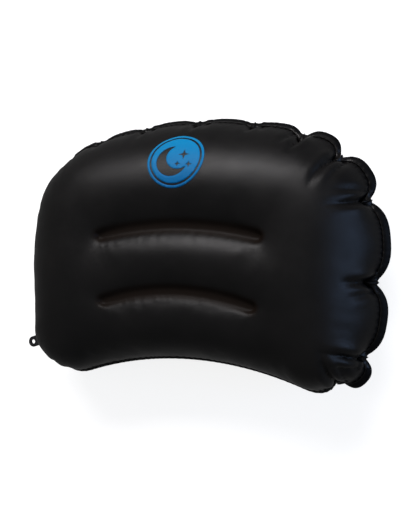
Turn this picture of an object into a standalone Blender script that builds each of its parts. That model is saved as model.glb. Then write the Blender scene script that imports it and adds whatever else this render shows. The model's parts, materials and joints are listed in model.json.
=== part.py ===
"""Inflatable camp pillow, lying face up on its back panel.

Metres, +Z up.  +X runs along the pillow, +Y towards its convex crown edge.
The origin is on the floor, under the middle of the pillow's length and width.
"""
import math

import bmesh
import bpy
from mathutils import Matrix, Vector

# ---- driving dimensions -------------------------------------------------
THICKNESS = 0.112            # floor to the highest part of the front
SEAM_HEIGHT = 0.050          # height of the perimeter weld above the floor
SHELL = 0.0008               # panel thickness, thicker than the real coated cloth
GAP = 0.0003                 # clearance kept between touching pieces
FLANGE_WIDTH = 0.006         # flat weld outside the air chamber
TUBE_RADIUS = 0.058          # plan radius of the rounded edge of the air chamber

# The weld line is a chain of tangent arcs, from the crown's middle to the neck's.
CROWN_TOP = 0.1365           # y of the weld line at the middle of the crown
CROWN_ARC = (0.420, 16.0)    # radius, turn in degrees
SHOULDER_ARC = (0.103, 66.0)
SIDE_ARC = (0.363, 21.0)
LOBE_ARC = (0.051, 96.5)
CROWN_STEPS = 4
SHOULDER_STEPS = 6
UPPER_SIDE_STEPS = 2
LOWER_SIDE_STEPS = 3
LOBE_STEPS = 5
NECK_STEPS = 4

# Columns of each panel run from the weld line to a shallow arched spine.
SPINE_HALF = 0.110
SPINE_MIDDLE_Y = -0.0055
SPINE_DROP = 0.016
EDGE_STEPS = 6
PLATEAU_STEPS = 6

# Each slot is an arc: half length, y at its ends, y at its middle.
UPPER_SLOT = (0.081, 0.0135, 0.0230)
LOWER_SLOT = (0.076, -0.052, -0.040)
WEB_HEIGHT = 0.080
WEB_STEPS = 12
VALLEY_HALF_WIDTH = 0.024

EMBLEM_RADIUS = 0.029
EMBLEM_Y = 0.087
EMBLEM_FILM = 0.0002
EMBLEM_SPOKES = 28
EMBLEM_RINGS = 4

TAB_HEADING = 109.0          # where on the lobe the loop tab is welded
TAB_WIDTH = 0.0120
TAB_REACH = 0.0125           # hole centre beyond the weld line
TAB_ROOT = 0.0075            # hole centre back to the root's square end
TAB_THICKNESS = 0.0014
TAB_HOLE_RADIUS = 0.0024
TAB_STEPS = 12
TAB_HOLE_SIDES = 16

VALVE_TILT = 28.0            # degrees that the valve faces below horizontal
VALVE_INSET = 0.0012         # the flat patch sits this far inside the round surface
PATCH_FLAT = 0.0195          # radius held flat for the valve flange
PATCH_BLEND = 0.032          # radius where the flat patch has died away
PATCH_SEAM_FADE = 0.004      # the patch dies away over this height below the seam
PATCH_CUTS = 3
VALVE_SIDES = 32

FLANGE_RADIUS = 0.0170
BACKING_RADIUS = 0.0155
BORE_RADIUS = 0.0110
NECK_RADIUS = 0.0124
COLLAR_RADIUS = 0.0136
COLLAR_HEIGHT = 0.0045
PLUG_RADIUS = 0.0145
PLUG_BORE = 0.0082
CAP_RADIUS = 0.0095
DIAPHRAGM_TRAVEL = 0.0015
STRAP_WIDTH = 0.0070
CAP_STRAP_WIDTH = 0.0050
STRAP_THICKNESS = 0.0010
STRAP_ROOT_LENGTH = 0.0022
HINGE_CLEARANCE = 0.0009     # bare stretch left beside a strap's hinge line
EDGE_CHAMFER = 0.0005
EAR_INSET = 0.0001           # keeps an ear's faces clear of the faces it joins
PLUG_EAR_REACH = 0.0045      # how far the grip ears stand out, and their half widths
PLUG_EAR_HALF = 0.0048
PLUG_EAR_ROOT = 0.0030
CAP_EAR_REACH = 0.0030
CAP_EAR_HALF = 0.0030
EAR_STEPS = 10
SEAT_RIM_WIDTH = 0.0011
SEAT_SPOKES = 4
SPOKE_WIDTH = 0.0011
SPOKE_OVERLAP = 0.0009       # a spoke's length inside the rim and the hub together
HUB_OUTER = 0.0026
HUB_INNER = 0.0013
SPIGOT_WALL = 0.0012
DIAPHRAGM_RADIUS = 0.0074
DIAPHRAGM_THICKNESS = 0.0006
STEM_RADIUS = 0.0009
HEAD_RADIUS = 0.0019
HEAD_THICKNESS = 0.0005
DOMING = 0.0002              # how far the diaphragm and its head rise towards the middle

# Valve heights, measured out from the cloth.
NECK_LOW = -0.0030
FLANGE_TOP = 0.0015
PLUG_FOOT = 0.0018
PLUG_TOP = 0.0063
SEAT_LOW = 0.0022
SEAT_TOP = 0.0034
SPIGOT_LOW = 0.0050
CAP_TOP = 0.0080

PLUG_HINGE = Vector((0.0, 0.0172, 0.00555))
CAP_HINGE = Vector((0.0, -0.0122, 0.0072))


# ---- scene helpers ------------------------------------------------------
def clear_scene():
    for old in list(bpy.data.objects):
        bpy.data.objects.remove(old, do_unlink=True)


def new_collection(name):
    group = bpy.data.collections.new(name)
    bpy.context.scene.collection.children.link(group)
    return group


def material(name, colour, roughness, metallic=0.0):
    finish = bpy.data.materials.new(name)
    finish.use_nodes = True
    shader = finish.node_tree.nodes["Principled BSDF"]
    shader.inputs["Base Color"].default_value = (*colour, 1.0)
    shader.inputs["Roughness"].default_value = roughness
    shader.inputs["Metallic"].default_value = metallic
    return finish


def add_object(name, data, group, finish=None, parent=None):
    piece = bpy.data.objects.new(name, data)
    group.objects.link(piece)
    if finish is not None:
        data.materials.append(finish)
    piece.parent = parent
    return piece


def add_empty(name, group, matrix, parent=None):
    marker = bpy.data.objects.new(name, None)
    group.objects.link(marker)
    marker.parent = parent
    marker.matrix_local = matrix
    return marker


def mesh_from(name, bm):
    mesh = bpy.data.meshes.new(name)
    bm.to_mesh(mesh)
    bm.free()
    return mesh


def solidify(piece, thickness, offset):
    shell = piece.modifiers.new("Shell", "SOLIDIFY")
    shell.thickness = thickness
    shell.offset = offset


# ---- outline ------------------------------------------------------------
def walk_arc(start, heading, radius, turn, steps):
    """Points along an arc from start; heading and turn in degrees, clockwise positive."""
    points = []
    x, y = start
    step = turn / steps
    chord = 2 * radius * math.sin(math.radians(abs(step)) / 2)
    for _ in range(steps):
        middle = math.radians(heading + step / 2)
        x += chord * math.cos(middle)
        y -= chord * math.sin(middle)
        heading += step
        points.append(((x, y), heading))
    return points


def half_outline():
    """Weld line's points from the crown's middle to the neck's, each with its heading."""
    points = [((0.0, CROWN_TOP), 0.0)]
    upper_side = 90.0 - CROWN_ARC[1] - SHOULDER_ARC[1]
    arcs = (
        (*CROWN_ARC, CROWN_STEPS),
        (*SHOULDER_ARC, SHOULDER_STEPS),
        (SIDE_ARC[0], upper_side, UPPER_SIDE_STEPS),
        (SIDE_ARC[0], SIDE_ARC[1] - upper_side, LOWER_SIDE_STEPS),
        (*LOBE_ARC, LOBE_STEPS),
    )
    for radius, turn, steps in arcs:
        start, heading = points[-1]
        points += walk_arc(start, heading, radius, turn, steps)
    (x, y), heading = points[-1]
    neck_turn = heading - 180.0
    neck_radius = x / math.sin(math.radians(neck_turn))
    points += walk_arc((x, y), heading, neck_radius, -neck_turn, NECK_STEPS)
    return points


def outward(heading):
    angle = math.radians(heading)
    return Vector((math.sin(angle), math.cos(angle)))


def full_outline():
    """Closed weld line as (point, outward normal), clockwise from the crown's middle."""
    right = [(Vector(point), outward(heading)) for point, heading in half_outline()]
    left = [(Vector((-p.x, p.y)), Vector((-n.x, n.y))) for p, n in reversed(right[1:-1])]
    return right + left


def outline_at_heading(target):
    """Point and normal of the right half's outline where it heads in the target direction."""
    points = half_outline()
    for (low, low_heading), (high, high_heading) in zip(points, points[1:]):
        if low_heading <= target <= high_heading:
            share = (target - low_heading) / (high_heading - low_heading)
            return Vector(low).lerp(Vector(high), share), outward(target)
    raise ValueError("no such heading on the outline")


# ---- air chamber surface ------------------------------------------------
def smooth_step(share):
    share = max(0.0, min(1.0, share))
    return share * share * (3.0 - 2.0 * share)


def spine_point(point, half_width):
    x = SPINE_HALF * point.x / half_width
    return Vector((x, SPINE_MIDDLE_Y - SPINE_DROP * (x / SPINE_HALF) ** 2))


def edge_rise(inset):
    """Share of the full height reached this far inside the weld line."""
    if inset >= TUBE_RADIUS:
        return 1.0
    return math.sqrt(1.0 - (1.0 - inset / TUBE_RADIUS) ** 2)


def slot_arc(slot):
    """Centre y, radius and half angle of a slot's arc."""
    half, end_y, middle_y = slot
    sag = middle_y - end_y
    radius = (half ** 2 + sag ** 2) / (2 * sag)
    return middle_y - radius, radius, math.asin(half / radius)


def slot_point(slot, share):
    """Point on the slot's arc, share from -1 at the left end to 1 at the right."""
    centre_y, radius, half_angle = slot_arc(slot)
    angle = share * half_angle
    return Vector((radius * math.sin(angle), centre_y + radius * math.cos(angle)))


def slot_distance(slot, point):
    centre_y, _, half_angle = slot_arc(slot)
    angle = math.atan2(point.x, point.y - centre_y)
    share = max(-1.0, min(1.0, angle / half_angle))
    return (point - slot_point(slot, share)).length


def valley(point):
    """One on a slot's line, falling to zero away from it."""
    near = min(slot_distance(slot, point) for slot in (UPPER_SLOT, LOWER_SLOT))
    return smooth_step(1.0 - near / VALLEY_HALF_WIDTH)


FRONT_RISE = THICKNESS - SHELL - SEAM_HEIGHT - GAP / 2
BACK_RISE = SEAM_HEIGHT + 0.002          # a little too deep, so the back lies flat
WEB_MIDDLE = THICKNESS / 2


def front_height(point, inset):
    """Inner face of the front panel."""
    crest = SEAM_HEIGHT + GAP / 2 + FRONT_RISE * edge_rise(inset)
    depth = THICKNESS - SHELL - (WEB_MIDDLE + WEB_HEIGHT / 2)
    return crest - depth * valley(point)


def back_height(point, inset):
    """Inner face of the back panel, flat where it rests on the floor."""
    base = SEAM_HEIGHT - GAP / 2 - BACK_RISE * edge_rise(inset)
    depth = WEB_MIDDLE - WEB_HEIGHT / 2 - SHELL
    return max(base, SHELL) + depth * valley(point)


def column_insets(length):
    """Distances inside the weld line of one column's rings, the last just short of the spine."""
    insets = []
    for step in range(EDGE_STEPS + 1):
        insets.append(TUBE_RADIUS * (1.0 - math.cos(math.pi / 2 * step / EDGE_STEPS)))
    plateau = length - TUBE_RADIUS
    for step in range(1, PLATEAU_STEPS + 1):
        insets.append(TUBE_RADIUS + plateau * step / (PLATEAU_STEPS + 0.5))
    return insets


def panel_surface(height):
    """Open bowl from the flange's edge to the spine, as a bmesh; height gives its z."""
    bm = bmesh.new()
    outline = full_outline()
    half_width = max(point.x for point, _ in outline)
    columns = []
    for point, normal in outline:
        spine = spine_point(point, half_width)
        inward = spine - point
        rim = point + normal * FLANGE_WIDTH
        column = [bm.verts.new((rim.x, rim.y, height(point, 0.0)))]
        for inset in column_insets(inward.length):
            place = point + inward.normalized() * inset
            column.append(bm.verts.new((place.x, place.y, height(place, inset))))
        columns.append(column)
    for column, following in zip(columns, columns[1:] + columns[:1]):
        for k in range(len(column) - 1):
            bm.faces.new((column[k], following[k], following[k + 1], column[k + 1]))
    close_spine(bm, [column[-1] for column in columns])
    return bm


def close_spine(bm, ring):
    """Fill the slim middle opening with faces between its crown side and its neck side."""
    count = len(ring)
    quarter = CROWN_STEPS + SHOULDER_STEPS + UPPER_SIDE_STEPS
    for k in range(2 * quarter):
        crown = ring[(quarter - k) % count]
        crown_next = ring[(quarter - k - 1) % count]
        neck = ring[(quarter + k) % count]
        neck_next = ring[(quarter + k + 1) % count]
        corners = [crown, neck, neck_next, crown_next]
        unique = [corner for i, corner in enumerate(corners) if corner not in corners[:i]]
        if len(unique) > 2:
            bm.faces.new(unique)


def face_normals(bm, upward):
    bmesh.ops.recalc_face_normals(bm, faces=bm.faces)
    bm.normal_update()
    total = sum((face.normal.z * face.calc_area() for face in bm.faces), 0.0)
    if (total > 0) != upward:
        bmesh.ops.reverse_faces(bm, faces=bm.faces)


# ---- valve frame --------------------------------------------------------
def valve_matrix():
    """Valve axes in the world: X up the slope, Y along the pillow's end, Z outwards."""
    side, _ = outline_at_heading(90.0)
    tilt = math.radians(VALVE_TILT)
    profile = math.atan(math.tan(tilt) * BACK_RISE / TUBE_RADIUS)
    inset = TUBE_RADIUS * (1.0 - math.cos(profile))
    height = SEAM_HEIGHT - BACK_RISE * math.sin(profile)
    out = Vector((-math.cos(tilt), 0.0, -math.sin(tilt)))
    up = Vector((-math.sin(tilt), 0.0, math.cos(tilt)))
    along = out.cross(up)
    centre = Vector((inset - side.x, side.y, height)) + out * (SHELL - VALVE_INSET)
    matrix = Matrix((up, along, out)).transposed().to_4x4()
    matrix.translation = centre
    return matrix


def flatten_for_valve(bm):
    """Refine the bowl near the valve and press it flat there, on the cloth's inner face."""
    to_valve = valve_matrix().inverted()
    near = [vert for vert in bm.verts if (to_valve @ vert.co).length < PATCH_BLEND]
    edges = [edge for edge in bm.edges if edge.verts[0] in near and edge.verts[1] in near]
    bmesh.ops.subdivide_edges(bm, edges=edges, cuts=PATCH_CUTS, use_grid_fill=True)
    to_world = to_valve.inverted()
    for vert in bm.verts:
        local = to_valve @ vert.co
        radius = math.hypot(local.x, local.y)
        if local.z < -PATCH_BLEND or radius > PATCH_BLEND:
            continue
        share = smooth_step((PATCH_BLEND - radius) / (PATCH_BLEND - PATCH_FLAT))
        share *= smooth_step((SEAM_HEIGHT - GAP - vert.co.z) / PATCH_SEAM_FADE)
        local.z += (-SHELL - local.z) * share
        vert.co = to_world @ local


# ---- soft pieces --------------------------------------------------------
def front_panel(group, finish):
    bm = panel_surface(front_height)
    face_normals(bm, upward=True)
    mesh = mesh_from("front_panel", bm)
    mesh.shade_smooth()
    solidify(add_object("front_panel", mesh, group, finish), SHELL, 1.0)


def back_panel(group, cutters, finish, valve):
    bm = panel_surface(back_height)
    flatten_for_valve(bm)
    face_normals(bm, upward=False)
    mesh = mesh_from("back_panel", bm)
    mesh.shade_smooth()
    panel = add_object("back_panel", mesh, group, finish)
    solidify(panel, SHELL, 1.0)
    hole = bmesh.new()
    bmesh.ops.create_cone(hole, cap_ends=True, segments=VALVE_SIDES, depth=PATCH_FLAT,
                          radius1=NECK_RADIUS + GAP, radius2=NECK_RADIUS + GAP)
    cutter = add_object("valve_hole", mesh_from("valve_hole", hole), cutters, parent=valve)
    cutter.hide_render = True
    cutter.display_type = "WIRE"
    cut = panel.modifiers.new("Valve hole", "BOOLEAN")
    cut.operation = "DIFFERENCE"
    cut.object = cutter


def baffle(name, slot, group, finish):
    """Upright web under a slot, which holds the two panels at a fixed distance."""
    bm = bmesh.new()
    low = WEB_MIDDLE - WEB_HEIGHT / 2 + GAP
    high = WEB_MIDDLE + WEB_HEIGHT / 2 - GAP
    rows = []
    for step in range(WEB_STEPS + 1):
        place = slot_point(slot, 2.0 * step / WEB_STEPS - 1.0)
        rows.append([bm.verts.new((place.x, place.y, z)) for z in (low, high)])
    for row, following in zip(rows, rows[1:]):
        bm.faces.new((row[0], following[0], following[1], row[1]))
    web = add_object(name, mesh_from(name, bm), group, finish)
    solidify(web, SHELL, 0.0)


def front_emblem(group, finish):
    """Round film that follows the front panel, clear of it by the gap."""
    bm = bmesh.new()
    crown_radius = CROWN_ARC[0]

    def on_front(x, y):
        crown = CROWN_TOP - crown_radius + math.sqrt(crown_radius ** 2 - x ** 2)
        inset = crown - y
        place = Vector((x, y, front_height(Vector((x, y)), inset)))
        rise = edge_rise(inset)
        flat = max(0.0, 1.0 - inset / TUBE_RADIUS)
        normal = Vector((0.0, flat / TUBE_RADIUS, rise / FRONT_RISE)).normalized()
        return place + normal * (SHELL + 2 * GAP)

    middle = bm.verts.new(on_front(0.0, EMBLEM_Y))
    rings = []
    for ring in range(1, EMBLEM_RINGS + 1):
        radius = EMBLEM_RADIUS * ring / EMBLEM_RINGS
        angles = [math.tau * k / EMBLEM_SPOKES for k in range(EMBLEM_SPOKES)]
        rings.append([bm.verts.new(on_front(radius * math.cos(a), EMBLEM_Y + radius * math.sin(a)))
                      for a in angles])
    for k in range(EMBLEM_SPOKES):
        after = (k + 1) % EMBLEM_SPOKES
        bm.faces.new((middle, rings[0][k], rings[0][after]))
        for inner, outer in zip(rings, rings[1:]):
            bm.faces.new((inner[k], outer[k], outer[after], inner[after]))
    face_normals(bm, upward=True)
    film = add_object("front_emblem", mesh_from("front_emblem", bm), group, finish)
    solidify(film, EMBLEM_FILM, 1.0)


def flat_outline(name, loops, thickness, group, finish, parent=None):
    """Flat plate from closed loops of points, the first outside and the rest holes."""
    curve = bpy.data.curves.new(name, "CURVE")
    curve.dimensions = "2D"
    curve.fill_mode = "BOTH"
    curve.extrude = thickness / 2
    for loop in loops:
        spline = curve.splines.new("POLY")
        spline.points.add(len(loop) - 1)
        for point, (x, y) in zip(spline.points, loop):
            point.co = (x, y, 0.0, 1.0)
        spline.use_cyclic_u = True
    return add_object(name, curve, group, finish, parent)


def arc_points(centre, radius, start, end, steps):
    """Points from start to end, in degrees anticlockwise from +X."""
    angles = [math.radians(start + (end - start) * k / steps) for k in range(steps + 1)]
    return [(centre[0] + radius * math.cos(a), centre[1] + radius * math.sin(a)) for a in angles]


def corner_tab(group, finish):
    """Loop tab welded under the flange at the lower left corner; its X points outwards."""
    half = TAB_WIDTH / 2
    outer = arc_points((0.0, 0.0), half, -90.0, 90.0, TAB_STEPS)
    outer += [(-TAB_ROOT, half), (-TAB_ROOT, -half)]
    hole = arc_points((0.0, 0.0), TAB_HOLE_RADIUS, 0.0, 360.0, TAB_HOLE_SIDES)[:-1]
    tab = flat_outline("corner_tab", (outer, hole), TAB_THICKNESS, group, finish)
    place, normal = outline_at_heading(TAB_HEADING)
    centre = place + normal * TAB_REACH
    below_flange = SEAM_HEIGHT - GAP / 2 - SHELL - GAP - TAB_THICKNESS / 2
    tab.location = (-centre.x, centre.y, below_flange)
    tab.rotation_euler.z = math.atan2(normal.y, -normal.x)


# ---- valve pieces, each in the valve's own axes -------------------------
def turned(name, profile, group, finish, parent, origin):
    """Ring or disc turned about the valve's Z; profile runs down the outer side."""
    bm = bmesh.new()
    verts = [bm.verts.new((r, 0.0, z)) for r, z in profile]
    closed = profile[0][0] > 0.0
    ends = verts[1:] + verts[:1] if closed else verts[1:]
    for first, second in zip(verts, ends):
        bm.edges.new((first, second))
    piece = add_object(name, mesh_from(name, bm), group, finish, parent)
    piece.location = -origin
    screw = piece.modifiers.new("Turn", "SCREW")
    screw.steps = VALVE_SIDES
    screw.render_steps = VALVE_SIDES
    screw.use_merge_vertices = True
    screw.merge_threshold = 0.00001
    screw.use_smooth_shade = False
    return piece


def union(piece, helper):
    joined = piece.modifiers.new("Join", "BOOLEAN")
    joined.operation = "UNION"
    joined.object = helper


def ear_cutter(name, centre_y, reach, half, low, high, cutters, parent, origin):
    """Round-ended grip ear from centre_y out to reach along Y, as a mesh to be joined."""
    sign = math.copysign(1.0, reach - centre_y)
    outline = arc_points((0.0, reach - sign * half), half, 0.0, sign * 180.0, EAR_STEPS)
    outline += [(-half, centre_y), (half, centre_y)]
    bm = bmesh.new()
    base = bm.faces.new([bm.verts.new((x, y, low)) for x, y in outline])
    top = bmesh.ops.extrude_face_region(bm, geom=[base])["geom"]
    raised = [item for item in top if isinstance(item, bmesh.types.BMVert)]
    bmesh.ops.translate(bm, verts=raised, vec=(0.0, 0.0, high - low))
    bmesh.ops.recalc_face_normals(bm, faces=bm.faces)
    ear = add_object(name, mesh_from(name, bm), cutters, parent=parent)
    ear.location = -origin
    ear.hide_render = True
    ear.display_type = "WIRE"
    return ear


def valve_base(group, finish, valve):
    """Flange on the cloth, a collar round the bore, and a neck through the panel."""
    profile = [
        (COLLAR_RADIUS, COLLAR_HEIGHT), (COLLAR_RADIUS, FLANGE_TOP + GAP),
        (FLANGE_RADIUS, FLANGE_TOP - GAP), (FLANGE_RADIUS, GAP), (NECK_RADIUS, GAP),
        (NECK_RADIUS, NECK_LOW), (BORE_RADIUS, NECK_LOW), (BORE_RADIUS, COLLAR_HEIGHT),
    ]
    turned("valve_base", profile, group, finish, valve, Vector())


def valve_backing_ring(group, finish, valve):
    outer = BACKING_RADIUS
    inner = NECK_RADIUS + GAP
    top = -SHELL - GAP
    low = top - SHELL
    turned("valve_backing_ring", [(outer, top), (outer, low), (inner, low), (inner, top)],
           group, finish, valve, Vector())


def deflate_plug(group, cutters, finish, hinge):
    """Large stopper: rim on the collar, skirt in the bore, and a grip ear."""
    skirt = BORE_RADIUS - GAP
    rim_low = COLLAR_HEIGHT + GAP
    edge = EDGE_CHAMFER
    profile = [
        (PLUG_RADIUS - edge, PLUG_TOP), (PLUG_RADIUS, PLUG_TOP - edge), (PLUG_RADIUS, rim_low),
        (skirt, rim_low), (skirt, PLUG_FOOT), (PLUG_BORE, PLUG_FOOT), (PLUG_BORE, PLUG_TOP),
    ]
    plug = turned("deflate_plug", profile, group, finish, hinge, PLUG_HINGE)
    ear = ear_cutter("plug_ear", -PLUG_BORE - PLUG_EAR_ROOT, -PLUG_RADIUS - PLUG_EAR_REACH,
                     PLUG_EAR_HALF, rim_low + EAR_INSET, PLUG_TOP - edge - EAR_INSET,
                     cutters, hinge, PLUG_HINGE)
    union(plug, ear)


def valve_seat(group, cutters, finish, hinge):
    """Spoked grid fixed in the plug's bore, with a guide hole for the diaphragm's stem."""
    outer = PLUG_BORE - GAP
    rim = outer - SEAT_RIM_WIDTH
    ring = [(outer, SEAT_TOP), (outer, SEAT_LOW), (rim, SEAT_LOW), (rim, SEAT_TOP)]
    seat = turned("valve_seat", ring, group, finish, hinge, PLUG_HINGE)
    hub = [(HUB_OUTER, SEAT_TOP), (HUB_OUTER, SEAT_LOW), (HUB_INNER, SEAT_LOW),
           (HUB_INNER, SEAT_TOP)]
    hub_piece = turned("seat_hub", hub, cutters, None, hinge, PLUG_HINGE)
    hub_piece.hide_render = True
    hub_piece.display_type = "WIRE"
    bm = bmesh.new()
    for k in range(SEAT_SPOKES):
        spoke = bmesh.ops.create_cube(bm, size=1.0)["verts"]
        length = rim - HUB_OUTER + SPOKE_OVERLAP
        size = (length, SPOKE_WIDTH, SEAT_TOP - SEAT_LOW - 2 * EAR_INSET)
        middle = ((rim + HUB_OUTER) / 2, 0.0, (SEAT_TOP + SEAT_LOW) / 2)
        bmesh.ops.scale(bm, verts=spoke, vec=size)
        bmesh.ops.translate(bm, verts=spoke, vec=middle)
        bmesh.ops.rotate(bm, verts=spoke, matrix=Matrix.Rotation(math.tau * k / SEAT_SPOKES, 3, "Z"))
    spokes = add_object("seat_spokes", mesh_from("seat_spokes", bm), cutters, parent=hinge)
    spokes.location = -PLUG_HINGE
    spokes.hide_render = True
    spokes.display_type = "WIRE"
    union(seat, spokes)
    union(seat, hub_piece)


def check_diaphragm(group, finish, slider):
    """Silicone disc under the seat, with a stem and head that a fingertip can press."""
    disc = DIAPHRAGM_RADIUS
    stem = STEM_RADIUS
    head = HEAD_RADIUS
    disc_top = SEAT_LOW - GAP
    head_low = SEAT_TOP + GAP + DIAPHRAGM_TRAVEL
    profile = [
        (0.0, head_low + HEAD_THICKNESS + DOMING), (head, head_low + HEAD_THICKNESS),
        (head, head_low), (stem, head_low), (stem, disc_top), (disc, disc_top),
        (disc, disc_top - DIAPHRAGM_THICKNESS), (0.0, disc_top - DIAPHRAGM_THICKNESS - DOMING),
    ]
    turned("check_diaphragm", profile, group, finish, slider, Vector())


def inflate_cap(group, cutters, finish, hinge):
    """Small cap with a spigot ring in the plug's bore and a grip ear."""
    low = PLUG_TOP + GAP
    outer = PLUG_BORE - GAP
    inner = outer - SPIGOT_WALL
    edge = EDGE_CHAMFER
    profile = [
        (0.0, CAP_TOP), (CAP_RADIUS - edge, CAP_TOP), (CAP_RADIUS, CAP_TOP - edge),
        (CAP_RADIUS, low), (outer, low), (outer, SPIGOT_LOW), (inner, SPIGOT_LOW), (inner, low),
        (0.0, low),
    ]
    cap = turned("inflate_cap", profile, group, finish, hinge, CAP_HINGE)
    ear = ear_cutter("cap_ear", inner, CAP_RADIUS + CAP_EAR_REACH, CAP_EAR_HALF,
                     low + EAR_INSET, CAP_TOP - edge - EAR_INSET, cutters, hinge, CAP_HINGE)
    union(cap, ear)


def strap(name, low, high, group, finish, parent, origin):
    """Flat block of strap between two corners in the valve's axes."""
    bm = bmesh.new()
    cube = bmesh.ops.create_cube(bm, size=1.0)["verts"]
    low = Vector(low)
    high = Vector(high)
    bmesh.ops.scale(bm, verts=cube, vec=high - low)
    bmesh.ops.translate(bm, verts=cube, vec=(low + high) / 2)
    piece = add_object(name, mesh_from(name, bm), group, finish, parent)
    piece.location = -origin
    return piece


def plug_straps(group, finish, valve, hinge):
    """The plug's strap, parted at its hinge line: one end on the flange, one on the plug."""
    half = STRAP_WIDTH / 2
    reach = HINGE_CLEARANCE
    y, z = PLUG_HINGE.y, PLUG_HINGE.z
    strap("plug_strap_root", (-half, y - STRAP_THICKNESS / 2, FLANGE_TOP + GAP),
          (half, y + STRAP_THICKNESS / 2, z - reach), group, finish, valve, Vector())
    strap("plug_strap_end", (-half, PLUG_RADIUS + GAP, z - STRAP_THICKNESS / 2),
          (half, y - GAP, z + STRAP_THICKNESS / 2), group, finish, hinge, PLUG_HINGE)


def cap_straps(group, finish, plug, hinge):
    """The cap's strap, parted at its hinge line: one end on the plug, one on the cap."""
    half = CAP_STRAP_WIDTH / 2
    reach = HINGE_CLEARANCE
    y, z = CAP_HINGE.y, CAP_HINGE.z
    strap("cap_strap_root", (-half, y - reach - STRAP_ROOT_LENGTH, PLUG_TOP + GAP),
          (half, y - reach, PLUG_TOP + GAP + STRAP_THICKNESS), group, finish, plug, PLUG_HINGE)
    strap("cap_strap_end", (-half, y + GAP, z - STRAP_THICKNESS / 2),
          (half, -CAP_RADIUS - GAP, z + STRAP_THICKNESS / 2), group, finish, hinge, CAP_HINGE)


# ---- assembly -----------------------------------------------------------
def build():
    clear_scene()
    group = new_collection("camp_pillow")
    cutters = new_collection("cutters")

    cloth = material("coated_cloth", (0.012, 0.012, 0.014), 0.42)
    back_cloth = material("coated_cloth_back", (0.012, 0.012, 0.014), 0.46)
    web_cloth = material("web_cloth", (0.03, 0.03, 0.033), 0.6)
    tab_film = material("tab_film", (0.01, 0.01, 0.011), 0.25)
    print_film = material("print_film", (0.02, 0.24, 0.62), 0.4)
    valve_film = material("valve_film", (0.02, 0.02, 0.022), 0.35)
    hard_plastic = material("seat_plastic", (0.2, 0.2, 0.2), 0.4)
    silicone = material("silicone", (0.45, 0.45, 0.43), 0.35)

    front_panel(group, cloth)
    baffle("upper_baffle", UPPER_SLOT, group, web_cloth)
    baffle("lower_baffle", LOWER_SLOT, group, web_cloth)
    front_emblem(group, print_film)
    corner_tab(group, tab_film)

    valve = add_empty("valve_frame", group, valve_matrix())
    plug = add_empty("plug_hinge", group, Matrix.Translation(PLUG_HINGE), valve)
    cap = add_empty("cap_hinge", group, Matrix.Translation(CAP_HINGE - PLUG_HINGE), plug)
    slider = add_empty("diaphragm_axis", group, Matrix.Translation(-PLUG_HINGE), plug)
    back_panel(group, cutters, back_cloth, valve)
    valve_base(group, valve_film, valve)
    valve_backing_ring(group, valve_film, valve)
    deflate_plug(group, cutters, valve_film, plug)
    valve_seat(group, cutters, hard_plastic, plug)
    check_diaphragm(group, silicone, slider)
    inflate_cap(group, cutters, valve_film, cap)
    plug_straps(group, valve_film, valve, plug)
    cap_straps(group, valve_film, plug, cap)


build()
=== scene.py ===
import json
import math

import bmesh
import bpy
import numpy as np
from mathutils import Matrix, Vector
from mathutils.bvhtree import BVHTree
from mathutils.geometry import delaunay_2d_cdt


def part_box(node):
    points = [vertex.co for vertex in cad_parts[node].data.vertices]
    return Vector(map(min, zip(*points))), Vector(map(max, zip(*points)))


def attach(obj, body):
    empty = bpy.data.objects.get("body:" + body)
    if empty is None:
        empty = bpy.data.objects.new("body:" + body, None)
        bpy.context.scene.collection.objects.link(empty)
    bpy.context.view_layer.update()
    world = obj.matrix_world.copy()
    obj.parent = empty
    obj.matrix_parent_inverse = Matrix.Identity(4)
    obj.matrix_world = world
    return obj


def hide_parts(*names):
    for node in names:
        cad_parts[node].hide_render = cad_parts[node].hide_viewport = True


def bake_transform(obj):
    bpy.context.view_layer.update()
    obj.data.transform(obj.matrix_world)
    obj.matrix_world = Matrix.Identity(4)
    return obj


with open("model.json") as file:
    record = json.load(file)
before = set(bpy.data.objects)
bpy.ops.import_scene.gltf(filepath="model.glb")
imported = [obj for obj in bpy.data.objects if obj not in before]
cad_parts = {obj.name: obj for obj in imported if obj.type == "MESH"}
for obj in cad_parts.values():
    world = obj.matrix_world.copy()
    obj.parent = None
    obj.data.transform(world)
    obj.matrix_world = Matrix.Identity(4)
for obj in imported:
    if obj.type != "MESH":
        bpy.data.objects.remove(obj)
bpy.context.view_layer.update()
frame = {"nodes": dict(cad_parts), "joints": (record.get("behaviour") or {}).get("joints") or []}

# ---- sizes taken from the frame
JOINTS = {joint["name"]: joint for joint in frame["joints"]}
FRONT_LOW, FRONT_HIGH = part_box("front_panel")
BACK_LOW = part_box("back_panel")[0]
UPPER_WEB_LOW, UPPER_WEB_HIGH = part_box("upper_baffle")
EMBLEM_LOW, EMBLEM_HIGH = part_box("front_emblem")

SEAM_HEIGHT = FRONT_LOW.z              # height of the perimeter weld above the floor
FRONT_RISE = FRONT_HIGH.z - SEAM_HEIGHT
BACK_RISE = SEAM_HEIGHT - BACK_LOW.z
THICKNESS = FRONT_HIGH.z - BACK_LOW.z
SKIN = 0.0004                          # thickness of the coated cloth
SKIN_GAP = 0.0003                      # clearance left round the webs and the valve

# ---- weld line: tangent arcs from the crown's middle, clockwise
CROWN_TOP = 0.1365
SIDE_ARCS = [(0.420, 16.0), (0.103, 66.0), (0.363, 21.0), (0.051, 96.5)]
WELD_STEP = 0.001
FLANGE_WIDTH = 0.0045
END_FLANGE_WIDTH = 0.0070
NECK_FLANGE_WIDTH = 0.0025
FLANGE_DROOP = 0.0040
FLANGE_RINGS = 3
NECK_FACING = 0.80                     # how far down the weld's outward direction points on the neck edge
NECK_FADE = 0.15

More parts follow.
